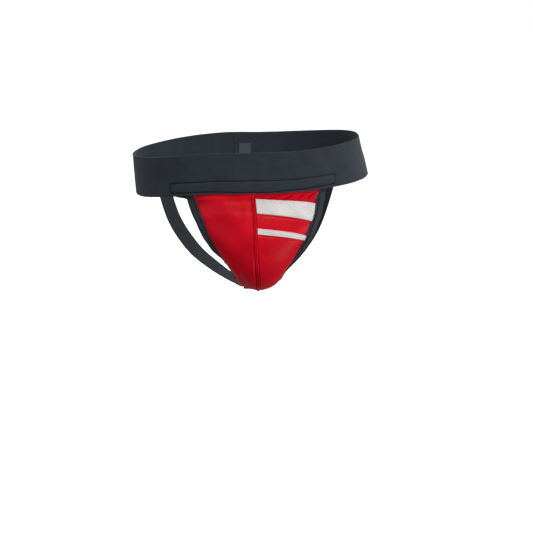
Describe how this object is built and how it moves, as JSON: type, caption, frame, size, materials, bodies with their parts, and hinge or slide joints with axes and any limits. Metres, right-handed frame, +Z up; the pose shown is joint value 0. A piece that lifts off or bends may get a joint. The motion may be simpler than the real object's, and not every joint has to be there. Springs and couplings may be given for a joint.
{
  "type": "groin protector",
  "caption": "Athletic supporter with a wide elastic waistband, a seamed leather pouch with trim strips, leg straps and a removable vented cup in an inner pocket.",
  "frame": {"origin": "centre of the waist loop, at the middle of the band's height at the front", "axes": "+Z up along the wearer's waist, -Y towards the wearer's front, +X towards the wearer's left"},
  "size_m": [0.364, 0.263, 0.2314],
  "materials": {
    "band_elastic": "woven elastic webbing, satin-matt",
    "pouch_leather": "smooth semi-gloss faux leather, red",
    "trim_leather": "smooth semi-gloss faux leather, off-white",
    "binding_elastic": "fold-over elastic, satin",
    "strap_elastic": "woven elastic webbing",
    "lining_fabric": "knitted lining",
    "label_fabric": "blank woven label",
    "thread_black": "polyester thread",
    "thread_red": "polyester thread",
    "thread_white": "polyester thread",
    "cup_plastic": "moulded polypropylene, fine texture",
    "gasket_rubber": "soft moulded edge"
  },
  "bodies": {
    "garment": {"waistband": "band_elastic", "back_join_patch": "band_elastic", "care_label": "label_fabric", "front_backing": "strap_elastic", "hem_topstitch": "thread_black", "pouch_panel_right": "pouch_leather", "pouch_panel_left": "pouch_leather", "centre_seam_tape": "lining_fabric", "seam_topstitch": "thread_red", "trim_strip_broad": "trim_leather", "trim_strip_slim": "trim_leather", "trim_topstitch": "thread_white", "lining_right": "lining_fabric", "lining_left": "lining_fabric", "pocket_back": "lining_fabric", "pocket_top_elastic": "binding_elastic", "binding_right": "binding_elastic", "binding_left": "binding_elastic", "binding_topstitch": "thread_black", "crotch_tab_lower": "strap_elastic", "crotch_tab_upper": "strap_elastic", "leg_strap_right": "strap_elastic", "leg_strap_left": "strap_elastic", "strap_bartacks": "thread_black"},
    "cup": {"cup_shell": "cup_plastic", "cup_gasket": "gasket_rubber"}
  },
  "joints": [
    {"name": "cup_slide", "type": "slide", "parent": "garment", "child": "cup", "axis": [0, 0.6, 0.8], "range_m": [0, 0.26], "deforming": ["pocket_back", "pocket_top_elastic"]}
  ]
}
